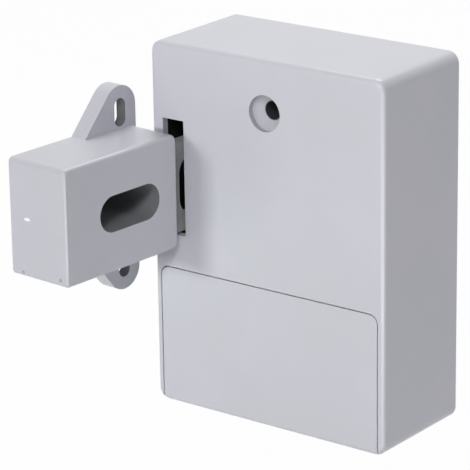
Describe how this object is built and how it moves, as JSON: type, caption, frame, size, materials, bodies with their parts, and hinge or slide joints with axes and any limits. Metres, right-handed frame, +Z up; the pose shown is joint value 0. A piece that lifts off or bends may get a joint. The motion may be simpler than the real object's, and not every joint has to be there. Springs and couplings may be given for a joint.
{
  "type": "cabinet lock",
  "caption": "Battery cabinet lock opened by a card: a motor bolt inside a plain box holds the tongue of a separate slotted keeper that plugs into its front.",
  "frame": {"origin": "centre of the lock body's flat back face", "axes": "+Z up, +Y out of the back face, so the front with the keeper slot looks along -Y"},
  "size_m": [0.0817, 0.0739, 0.095],
  "materials": {
    "grey_plastic": "fine satin moulded grey",
    "inner_plastic": "plain moulded grey",
    "gear_plastic": "natural white gear plastic",
    "black_plastic": "black moulded",
    "socket_plastic": "ivory moulded",
    "board_laminate": "green solder mask",
    "red_wire": "wire jacket",
    "screw_steel": "plain steel",
    "bolt_steel": "plain steel",
    "tongue_steel": "dull grey coating",
    "plated_steel": "nickel plated",
    "copper_wire": "enamelled copper",
    "cell_jacket": "plain coloured cell jacket"
  },
  "bodies": {
    "lock_body": {"front_housing": "grey_plastic", "rear_plate": "grey_plastic", "rear_screw_1": "screw_steel", "rear_screw_2": "screw_steel", "rear_screw_3": "screw_steel", "rear_screw_4": "screw_steel", "battery_cell_1": "cell_jacket", "battery_cell_2": "cell_jacket", "battery_cell_3": "cell_jacket", "contact_spring_1": "plated_steel", "contact_spring_2": "plated_steel", "contact_spring_3": "plated_steel", "contact_plus": "plated_steel", "contact_link_left": "plated_steel", "contact_link_right": "plated_steel", "contact_minus": "plated_steel", "gear_axle": "screw_steel", "motor": "plated_steel", "mechanism_bracket": "inner_plastic", "bracket_screw_1": "screw_steel", "bracket_screw_2": "screw_steel", "bracket_screw_3": "screw_steel", "circuit_board": "board_laminate", "control_chip": "black_plastic", "reader_chip": "black_plastic", "motor_socket": "socket_plastic", "buzzer": "black_plastic", "capacitor": "black_plastic", "button_switch": "black_plastic", "antenna_coil": "copper_wire", "board_screw_1": "screw_steel", "board_screw_2": "screw_steel", "motor_lead_red": "red_wire", "motor_lead_black": "black_plastic"},
    "cover": {"battery_cover": "grey_plastic"},
    "bolt": {"lock_bolt": "bolt_steel"},
    "gear": {"drive_gear": "gear_plastic"},
    "pinion": {"motor_pinion": "gear_plastic"},
    "button": {"program_button": "black_plastic"},
    "keeper": {"keeper_housing": "grey_plastic", "strike_tongue": "tongue_steel", "tongue_screw_1": "screw_steel", "tongue_screw_2": "screw_steel"}
  },
  "joints": [
    {"name": "keeper_slide", "type": "slide", "parent": "lock_body", "child": "keeper", "axis": [-0.071, -0.9975, 0], "range_m": [0, 0.03]},
    {"name": "cover_slide", "type": "slide", "parent": "lock_body", "child": "cover", "axis": [0, 0, -1], "range_m": [0, 0.04]},
    {"name": "bolt_slide", "type": "slide", "parent": "lock_body", "child": "bolt", "axis": [-1, 0, 0], "range_m": [0, 0.008]},
    {"name": "gear_turn", "type": "hinge", "parent": "lock_body", "child": "gear", "pos_m": [-0.00746, -0.018, 0.01826], "axis": [0, 1, 0], "range_deg": [0, 115]},
    {"name": "pinion_turn", "type": "hinge", "parent": "lock_body", "child": "pinion", "pos_m": [0.00614, -0.017, 0.01826], "axis": [0, 1, 0], "range_deg": [-275.2, 0]},
    {"name": "button_press", "type": "slide", "parent": "lock_body", "child": "button", "axis": [0, 1, 0], "range_m": [0, 0.0006], "stiffness_N_per_m": 600}
  ],
  "couplings": [
    {"joint": "gear_turn", "follows": "bolt_slide", "rad_per_m": 250},
    {"joint": "pinion_turn", "follows": "bolt_slide", "rad_per_m": -600}
  ]
}
